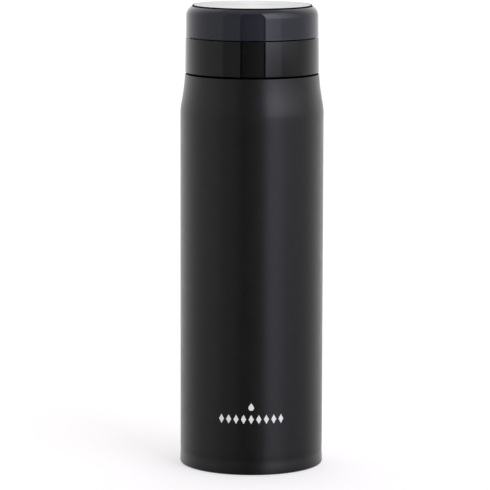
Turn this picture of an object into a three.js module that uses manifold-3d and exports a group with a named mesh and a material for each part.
// A half-litre vacuum flask: a double-walled steel body with a screw-on drinking collar and a screw cap.
// Millimetres, +Z up. The origin is the centre of the foot's underside, and everything turns about Z.
import * as THREE from 'three';
import { mergeVertices } from 'three/addons/utils/BufferGeometryUtils.js';
import Module from 'manifold-3d';

const wasm = await Module();
wasm.setup();

// Overall sizes
const bodyRadius = 34;
const bodyHeight = 186.95; // foot to the ledge that the collar closes on
const collarHeight = 16.45;
const capHeight = 14.85;
const neckRadius = 27; // steel neck, before its thread

// Walls
const shellWall = 0.5;
const linerWall = 0.4;
const vacuumGap = 2.8;
const neckVacuumGap = 0.6;
const mouthpieceWall = 1.4;
const collarWall = 2.06;
const capLinerWall = 1.1;

// Clearances
const seatGap = 0.1; // a piece dropped into its seat
const pressGap = 0.15; // a trim ring pressed over its carrier
const threadGap = 0.3; // crest to opposite root
const threadPlay = 0.2; // flank to flank when tight
const collarGap = 0.9; // ledge to collar
const capGap = 0.45; // collar to cap

// Screw threads: both are right-handed and two-start
const threadLead = 8;
const threadStarts = 2;
const threadDepth = 0.9;
const threadRoot = 1.9;
const threadCrest = 0.7;
const threadBury = 0.25; // how far a ridge's root is sunk in its wall
const threadTaper = 0.15; // share of a ridge's length over which each end fades
const neckThreadRise = 4.2; // ledge to the start of the neck's thread
const neckThreadBand = 2.05; // plain neck above the thread
const lipThreadRise = 3.6; // collar's top to the start of the lip's thread
const lipThreadBand = 0.05;

// Body details
const footWidth = 3.5;
const footRound = 1.1;
const footSpread = 0.1; // how far the base cup stands outside the shell
const baseCupHeight = 6.7;
const baseCupWall = 0.6;
const baseRecess = 1.5; // underside of the cup above the foot
const creaseDepth = 0.12;
const creaseReach = 2.9; // height over which the shell draws in to the crease
const shoulderHeight = 18.3;
const shoulderEase = 4.6;
const shoulderLean = 0.53;
const shoulderReach = 9.3;
const ledgeRound = 0.45;
const linerFloor = 7.2; // foot to the underside of the liner's bottom
const linerCorner = 5;
const linerShoulder = 20; // height of the liner's draw-in below the neck
const flangeThickness = 0.6;
const foilThickness = 0.15;
const foilStandoff = 0.3;
const foilMargin = 4;
const coverThickness = 0.5;
const coverMargin = 0.6;
const dimpleRadius = 4.4;
const dimpleDepth = 1.5;
const ventRadius = 0.8; // hole that the air is drawn out through
const sealRadius = 3;
const getterRadius = 3.9;
const getterThickness = 1.4;
const getterOffset = 14; // from the axis
const clipWall = 0.3;
const clipLip = 0.4;

// Collar details
const sealThickness = 1.2;
const sealInset = 0.2;
const mouthpieceWeb = 1.9;
const webMargin = 0.35; // web to the collar's seat
const lipWall = 2;
const lipTaper = 1.4;
const lipNarrow = 0.7;
const collarFlange = 1.5;
const collarDraft = 0.23; // radius lost from foot to top
const edgeBreak = 0.25;

// Cap details
const capDraft = 0.14;
const capRound = 5;
const capStep = 0.09; // collar's top radius less the cap's foot radius
const discMargin = 3.79; // cap's radius less the disc's
const discThickness = 0.8;
const bezelWidth = 0.4; // raised rim round the disc
const rimGroove = 0.4; // channel between that rim and the cap's shoulder
const rimDrop = 0.53; // shoulder below the disc
const adhesiveThickness = 0.3;
const adhesiveInset = 1;
const capCeiling = 1.2;
const plugDepth = 10.3; // lip's top to the plug's underside
const plugWall = 1.2;
const plugClearance = 1.4; // plug to the inside of the lip
const plugRound = 0.8;
const skirtInset = 0.5; // threaded skirt above the cap's foot
const headroom = 0.6; // lip's top to the roof above it
const roofThickness = 1.2;
const foamDepth = 1.9; // over the roof
const sealGrooveDepth = 1;
const sealGrooveRise = 2.8; // above the plug's underside
const sealGrooveWidth = 2.2;

const facets = 40;
const discFacets = 20;
const arcSteps = 5;

// Levels and radii that several pieces share
const ledge = bodyHeight;
const collarFoot = ledge + collarGap;
const collarTop = collarFoot + collarHeight;
const collarSeat = collarTop - collarFlange - seatGap;
const webTop = collarSeat - webMargin;
const seatTop = webTop - mouthpieceWeb;
const mouthTop = seatTop - sealThickness;
const capFoot = collarTop + capGap;
const capTop = capFoot + capHeight;
const recessFloor = capTop - discThickness - adhesiveThickness;
const ceiling = recessFloor - capCeiling;
const capLinerTop = ceiling - foamDepth;
const roof = capLinerTop - roofThickness;
const lipTop = roof - headroom;
const plugFoot = lipTop - plugDepth;
const threadBore = neckRadius + threadDepth + threadGap;
const mouthpieceRadius = threadBore + mouthpieceWall;
const collarBore = mouthpieceRadius + pressGap;
const collarRadius = collarBore + collarWall;
const shellTopRadius = collarRadius; // the shoulder runs into the collar
const linerRadius = bodyRadius - shellWall - vacuumGap;
const linerNeckRadius = neckRadius - shellWall - neckVacuumGap;
const lipBore = neckRadius - lipWall;
const capLinerRadius = threadBore + capLinerWall;
const capBore = capLinerRadius + pressGap;
const capRadius = collarRadius - collarDraft - capStep;
const plugRadius = lipBore - plugClearance;
const discRadius = capRadius - discMargin;
const bezelRadius = discRadius + seatGap + bezelWidth;

const finish = {
  coat: new THREE.MeshStandardMaterial({ name: 'coat', color: 0x1d1d1e, roughness: 0.5, metalness: 0.1 }),
  steel: new THREE.MeshStandardMaterial({ name: 'steel', color: 0xbcbdbf, roughness: 0.32, metalness: 1 }),
  slate: new THREE.MeshStandardMaterial({ name: 'slate', color: 0x26282e, roughness: 0.16 }),
  gloss: new THREE.MeshStandardMaterial({ name: 'gloss', color: 0x131313, roughness: 0.14 }),
  matte: new THREE.MeshStandardMaterial({ name: 'matte', color: 0x222222, roughness: 0.55 }),
  silicone: new THREE.MeshStandardMaterial({ name: 'silicone', color: 0xd9dad8, roughness: 0.6 }),
  foam: new THREE.MeshStandardMaterial({ name: 'foam', color: 0xf0efe9, roughness: 0.95 }),
  copper: new THREE.MeshStandardMaterial({ name: 'copper', color: 0xc07a52, roughness: 0.3, metalness: 1 }),
  getter: new THREE.MeshStandardMaterial({ name: 'getter', color: 0x5a5a5c, roughness: 0.9, metalness: 0.3 }),
  glaze: new THREE.MeshStandardMaterial({ name: 'glaze', color: 0x6b5a48, roughness: 0.3 }),
  tape: new THREE.MeshStandardMaterial({ name: 'tape', color: 0xe4ddc8, roughness: 0.8 }),
};

const flask = new THREE.Group();

// A full turn of an outline of [radius, height] corners, about Z.
function turned(outline, segments = facets) {
  const points = outline.map(([radius, height]) => new THREE.Vector2(radius, height));
  const onAxis = outline[0][0] === 0 && outline.at(-1)[0] === 0;
  if (THREE.ShapeUtils.area(points) < 0) points.reverse();
  if (!onAxis) points.push(points[0].clone());
  return new THREE.LatheGeometry(points, segments).rotateX(Math.PI / 2);
}

// Points along a round corner, as [radius, height] pairs, from one angle to another in degrees.
function arc(centreRadius, centreHeight, size, from, to, steps = arcSteps) {
  return Array.from({ length: steps + 1 }, (_, i) => {
    const angle = THREE.MathUtils.degToRad(from + ((to - from) * i) / steps);
    return [centreRadius + size * Math.cos(angle), centreHeight + size * Math.sin(angle)];
  });
}

// Points along a cubic sweep between two [radius, height] points with a handle for each.
function sweep(start, startHandle, endHandle, end, steps) {
  const ends = [start, startHandle, endHandle, end].map(([r, z]) => new THREE.Vector2(r, z));
  return new THREE.CubicBezierCurve(...ends).getPoints(steps).map((p) => [p.x, p.y]);
}

// One helical ridge of a thread. It stands off the wall outwards, or inwards where depth is negative.
function ridge({ wallRadius, depth, startHeight, startTurn, turns }) {
  const way = Math.sign(depth);
  const section = new THREE.Shape([
    new THREE.Vector2(-way * threadBury, -threadRoot / 2),
    new THREE.Vector2(depth, -threadCrest / 2),
    new THREE.Vector2(depth, threadCrest / 2),
    new THREE.Vector2(-way * threadBury, threadRoot / 2),
  ]);
  const bar = new THREE.ExtrudeGeometry(section, {
    depth: 1,
    steps: Math.round(turns * facets),
    bevelEnabled: false,
  });
  const place = bar.getAttribute('position');
  for (let i = 0; i < place.count; i++) {
    const share = place.getZ(i);
    const fade = Math.min(1, share / threadTaper, (1 - share) / threadTaper);
    const isCrest = place.getX(i) * way > 0;
    const stand = isCrest ? THREE.MathUtils.lerp(-way * threadBury / 2, depth, fade) : place.getX(i);
    const angle = 2 * Math.PI * (startTurn + share * turns);
    const radius = wallRadius + stand;
    const height = startHeight - place.getY(i) + threadLead * share * turns;
    place.setXYZ(i, radius * Math.cos(angle), radius * Math.sin(angle), height);
  }
  return bar;
}

// How far the inner ridge's centre line runs below the outer one's when the thread is tight.
const threadOffset = (threadRoot - (threadRoot - threadCrest) * (threadGap / threadDepth)) / 2
  + threadCrest / 2 + threadPlay;

function toSolid(geometry) {
  const bare = geometry.clone();
  bare.deleteAttribute('normal');
  bare.deleteAttribute('uv');
  const merged = mergeVertices(bare, 1e-4);
  const vertProperties = new Float32Array(merged.getAttribute('position').array);
  const triVerts = new Uint32Array(merged.index.array);
  return new wasm.Manifold(new wasm.Mesh({ numProp: 3, vertProperties, triVerts }));
}

function toGeometry(solid) {
  const { vertProperties, triVerts } = solid.getMesh();
  return new THREE.BufferGeometry()
    .setAttribute('position', new THREE.BufferAttribute(vertProperties, 3))
    .setIndex(new THREE.BufferAttribute(triVerts, 1));
}

// A turned body with its thread's ridges joined on.
function threaded(geometry, threads) {
  let solid = toSolid(geometry);
  for (const thread of threads) {
    for (let start = 0; start < threadStarts; start++) {
      solid = solid.add(toSolid(ridge({ ...thread, startTurn: start / threadStarts })));
    }
  }
  return toGeometry(solid);
}

function add(name, geometry, material) {
  const mesh = new THREE.Mesh(geometry, material);
  mesh.name = name;
  flask.add(mesh);
  return mesh;
}

// Threads, from the tight position: the outer piece's ridge hangs just under the inner piece's.
function maleThread(startHeight, topHeight) {
  const turns = (topHeight - threadRoot / 2 - startHeight) / threadLead;
  return { wallRadius: neckRadius, depth: threadDepth, startHeight, turns };
}

function femaleThread(male) {
  const startHeight = male.startHeight - threadOffset;
  return { ...male, wallRadius: threadBore, depth: -threadDepth, startHeight };
}

const neckThread = maleThread(ledge + neckThreadRise, mouthTop - neckThreadBand);
const collarThread = femaleThread(neckThread);
const lipThread = maleThread(collarTop + lipThreadRise, lipTop - lipTaper - lipThreadBand);
const capThread = femaleThread(lipThread);

// Outer wall: a drawn tube with a soft shoulder, a ledge and a threaded neck
function outerShell() {
  const shoulderFoot = ledge - ledgeRound - shoulderHeight;
  const shoulder = (inset, steps) => sweep(
    [bodyRadius - inset, shoulderFoot],
    [bodyRadius - inset, shoulderFoot + shoulderEase],
    [shellTopRadius + shoulderLean - inset, ledge - ledgeRound - shoulderReach],
    [shellTopRadius - inset, ledge - ledgeRound],
    steps,
  );
  const outline = [
    [bodyRadius - creaseDepth - shellWall, baseCupHeight],
    [bodyRadius - creaseDepth, baseCupHeight],
    [bodyRadius, baseCupHeight + creaseReach],
    ...shoulder(0, 8),
    ...arc(shellTopRadius - ledgeRound, ledge - ledgeRound, ledgeRound, 30, 90, 2),
    [neckRadius, ledge],
    [neckRadius, mouthTop - flangeThickness],
    [neckRadius - shellWall, mouthTop - flangeThickness],
    [neckRadius - shellWall, ledge - shellWall],
    [shellTopRadius - shellWall - ledgeRound, ledge - shellWall],
    ...shoulder(shellWall, 5).reverse().slice(1),
    [bodyRadius - shellWall, baseCupHeight + creaseReach],
  ];
  return threaded(turned(outline), [neckThread]);
}

// Inner wall: a tube that draws in to the neck and turns out over the shell's rim
function innerLiner() {
  const drawFoot = ledge - linerShoulder;
  const draw = (inset) => sweep(
    [linerRadius - inset, drawFoot],
    [linerRadius - inset, drawFoot + linerShoulder * 0.55],
    [linerNeckRadius - inset, ledge - linerShoulder * 0.45],
    [linerNeckRadius - inset, ledge - 2 * shellWall],
    7,
  );
  const tubeFoot = linerFloor + linerCorner;
  return turned([
    [linerRadius - linerWall, tubeFoot],
    [linerRadius, tubeFoot],
    ...draw(0),
    [linerNeckRadius, mouthTop - flangeThickness],
    [neckRadius, mouthTop - flangeThickness],
    [neckRadius, mouthTop - flangeThickness / 3],
    [neckRadius - flangeThickness / 3, mouthTop],
    [linerNeckRadius - linerWall + flangeThickness / 2, mouthTop],
    [linerNeckRadius - linerWall, mouthTop - flangeThickness / 2],
    ...draw(linerWall).reverse(),
  ]);
}

// Inner bottom: a shallow dish welded to the liner's foot
function linerBottom() {
  const inner = linerCorner - linerWall;
  const cornerRadius = linerRadius - linerCorner;
  const rim = linerFloor + linerCorner;
  return turned([
    [0, linerFloor],
    ...arc(cornerRadius, rim, linerCorner, -90, 0),
    ...arc(cornerRadius, rim, inner, 0, -90),
    [0, linerFloor + linerWall],
  ]);
}

// Outer bottom: a pressed cup with a foot ring, a flat recess and the evacuation dimple
function baseCup() {
  const cupRadius = bodyRadius + footSpread;
  const footInner = cupRadius - footRound - footWidth;
  const rimRadius = bodyRadius - creaseDepth;
  const innerRound = footRound - baseCupWall / 2;
  const dimpleTop = baseRecess + dimpleDepth;
  return turned([
    [ventRadius, dimpleTop],
    [dimpleRadius, dimpleTop],
    [dimpleRadius + baseCupWall, baseRecess],
    [footInner - baseCupWall, baseRecess],
    [footInner, 0],
    ...arc(cupRadius - footRound, footRound, footRound, -90, 0, 4),
    [cupRadius, baseCupHeight * 0.45],
    [rimRadius, baseCupHeight],
    [rimRadius - shellWall, baseCupHeight],
    [cupRadius - baseCupWall, baseCupHeight * 0.45],
    ...arc(cupRadius - baseCupWall - innerRound, baseCupWall + innerRound, innerRound, 0, -90, 2),
    [footInner + baseCupWall * 0.7, baseCupWall],
    [footInner, baseRecess + baseCupWall],
    [dimpleRadius + 2 * baseCupWall, baseRecess + baseCupWall],
    [dimpleRadius + baseCupWall, dimpleTop + baseCupWall],
    [ventRadius, dimpleTop + baseCupWall],
  ]);
}

const coverRadius = bodyRadius + footSpread - footRound - footWidth - baseCupWall - coverMargin;

function baseCover() {
  return turned([
    [0, baseRecess - coverThickness],
    [coverRadius - coverThickness / 2, baseRecess - coverThickness],
    [coverRadius, baseRecess - coverThickness / 2],
    [coverRadius, baseRecess],
    [0, baseRecess],
  ]);
}

// Bead of solder glass that closes the evacuation hole from below
function vacuumSeal() {
  const top = baseRecess + dimpleDepth;
  const drop = dimpleDepth * 0.8;
  return turned([
    [0, top - drop],
    [sealRadius * 0.55, top - drop * 0.9],
    [sealRadius * 0.9, top - drop * 0.5],
    [sealRadius, top],
    [0, top],
  ], discFacets);
}

function getterClip() {
  const top = linerFloor;
  const inside = getterRadius + seatGap;
  const foot = top - clipWall - getterThickness - 2 * seatGap;
  return turned([
    [0, top - clipWall],
    [inside, top - clipWall],
    [inside, foot],
    [inside - clipLip, foot],
    [inside - clipLip, foot - clipWall],
    [inside + clipWall, foot - clipWall],
    [inside + clipWall, top],
    [0, top],
  ], discFacets);
}

function getterPellet() {
  const top = linerFloor - clipWall - seatGap;
  return turned([
    [0, top - getterThickness],
    [getterRadius, top - getterThickness],
    [getterRadius, top],
    [0, top],
  ], discFacets);
}

function radiationFoil() {
  const inside = linerRadius + foilStandoff;
  const foot = linerFloor + linerCorner + foilMargin;
  const top = ledge - linerShoulder - foilMargin;
  return turned([
    [inside, foot],
    [inside + foilThickness, foot],
    [inside + foilThickness, top],
    [inside, top],
  ]);
}

// Drinking mouthpiece: a threaded skirt, a web that clamps the seal, and a threaded lip
function mouthpiece() {
  const skirtFoot = collarFoot + capGap / 2;
  const lipRound = (lipWall - lipNarrow) / 2;
  const outline = [
    [threadBore, skirtFoot],
    [mouthpieceRadius, skirtFoot],
    [mouthpieceRadius, collarSeat],
    [threadBore - pressGap, collarSeat],
    [threadBore - pressGap, collarTop - seatGap],
    [neckRadius, collarTop - seatGap],
    [neckRadius, lipTop - lipTaper],
    ...arc(neckRadius - lipNarrow - lipRound, lipTop - lipRound, lipRound, 0, 180, 6),
    [lipBore, lipTop - lipTaper],
    [lipBore, webTop],
    [lipBore, seatTop],
    [threadBore, seatTop],
  ];
  return threaded(turned(outline), [collarThread, lipThread]);
}

function collarRing() {
  const topRadius = collarRadius - collarDraft;
  return turned([
    [collarBore, collarFoot],
    [collarRadius - edgeBreak, collarFoot],
    [collarRadius, collarFoot + edgeBreak],
    [topRadius, collarTop - edgeBreak],
    [topRadius - edgeBreak, collarTop],
    [threadBore, collarTop],
    [threadBore, collarTop - collarFlange],
    [collarBore, collarTop - collarFlange],
  ]);
}

function collarGasket() {
  const inside = linerNeckRadius - linerWall + sealInset;
  const outside = threadBore - threadGap;
  return turned([
    [inside, mouthTop],
    [outside, mouthTop],
    [outside, seatTop],
    [inside, seatTop],
  ]);
}

// Cap: a moulded shell with a round shoulder and a raised bezel round the top disc
function capShell() {
  const shoulderRadius = capRadius - capDraft;
  const roundCentre = shoulderRadius - capRound;
  const rimRadius = bezelRadius + rimGroove;
  const meet = Math.acos((rimRadius - roundCentre) / capRound);
  const roundHeight = capTop - rimDrop - capRound * Math.sin(meet);
  const ceilingRadius = capLinerRadius - capLinerWall - threadGap;
  return turned([
    [0, recessFloor],
    [discRadius + seatGap, recessFloor],
    [discRadius + seatGap, capTop],
    [bezelRadius, capTop],
    [bezelRadius, recessFloor],
    [rimRadius, recessFloor],
    ...arc(roundCentre, roundHeight, capRound, THREE.MathUtils.radToDeg(meet), 0, 7),
    [capRadius, capFoot + edgeBreak],
    [capRadius - edgeBreak, capFoot],
    [capBore, capFoot],
    [capBore, capLinerTop],
    [ceilingRadius, capLinerTop],
    [ceilingRadius, ceiling],
    [0, ceiling],
  ]);
}

function capDisc() {
  const foot = recessFloor + adhesiveThickness;
  return turned([
    [0, foot],
    [discRadius, foot],
    [discRadius, capTop - seatGap],
    [discRadius - seatGap, capTop],
    [0, capTop],
  ]);
}

function discAdhesive() {
  return turned([
    [0, recessFloor],
    [discRadius - adhesiveInset, recessFloor],
    [discRadius - adhesiveInset, recessFloor + adhesiveThickness],
    [0, recessFloor + adhesiveThickness],
  ]);
}

const grooveFoot = plugFoot + sealGrooveRise;
const grooveTop = grooveFoot + sealGrooveWidth;
const grooveRadius = plugRadius - sealGrooveDepth;

// Inner cap: the threaded skirt, the roof over the lip and the hollow plug, in one moulding
function capLiner() {
  const skirtFoot = capFoot + skirtInset;
  const outline = [
    [0, plugFoot],
    ...arc(plugRadius - plugRound, plugFoot + plugRound, plugRound, -90, 0, 2),
    [plugRadius, grooveFoot],
    [grooveRadius, grooveFoot],
    [grooveRadius, grooveTop],
    [plugRadius, grooveTop],
    [plugRadius, roof],
    [threadBore, roof],
    [threadBore, skirtFoot],
    [capLinerRadius, skirtFoot],
    [capLinerRadius, capLinerTop],
    [grooveRadius - plugWall, capLinerTop],
    [grooveRadius - plugWall, plugFoot + plugWall],
    [0, plugFoot + plugWall],
  ];
  return threaded(turned(outline), [capThread]);
}

function capFoam() {
  const inside = grooveRadius - plugWall - seatGap;
  const foot = plugFoot + plugWall + seatGap;
  const top = ceiling - seatGap;
  const brim = capLinerTop + seatGap;
  const brimRadius = capLinerRadius - capLinerWall - threadGap - seatGap;
  return turned([
    [0, foot],
    [inside, foot],
    [inside, brim],
    [brimRadius, brim],
    [brimRadius, top],
    [0, top],
  ]);
}

// Sealing ring in the plug's groove, with two lips that wipe the mouthpiece's bore
function capGasket() {
  const foot = grooveFoot + seatGap;
  const top = grooveTop - seatGap;
  const inside = grooveRadius + 2 * seatGap; // it turns on the plug
  const crest = lipBore - seatGap;
  const valley = crest - sealGrooveDepth * 0.6;
  const step = (top - foot) / 4;
  return turned([
    [inside, foot],
    [crest - seatGap, foot],
    [crest, foot + step / 2],
    [valley, foot + 2 * step],
    [crest, top - step / 2],
    [crest - seatGap, top],
    [inside, top],
  ]);
}

add('outer_shell', outerShell(), finish.coat);
add('inner_liner', innerLiner(), finish.steel);
add('liner_bottom', linerBottom(), finish.steel);
add('base_cup', baseCup(), finish.coat);
add('base_cover', baseCover(), finish.steel);
add('vacuum_seal', vacuumSeal(), finish.glaze);
add('getter_clip', getterClip(), finish.steel).position.x = getterOffset;
add('getter_pellet', getterPellet(), finish.getter).position.x = getterOffset;
add('radiation_foil', radiationFoil(), finish.copper);
add('collar_gasket', collarGasket(), finish.silicone);
add('mouthpiece', mouthpiece(), finish.matte);
add('collar_ring', collarRing(), finish.gloss);
add('cap_gasket', capGasket(), finish.silicone);
add('cap_liner', capLiner(), finish.matte);
add('cap_foam', capFoam(), finish.foam);
add('cap_shell', capShell(), finish.slate);
add('disc_adhesive', discAdhesive(), finish.tape);
add('cap_disc', capDisc(), finish.steel);

export default flask;
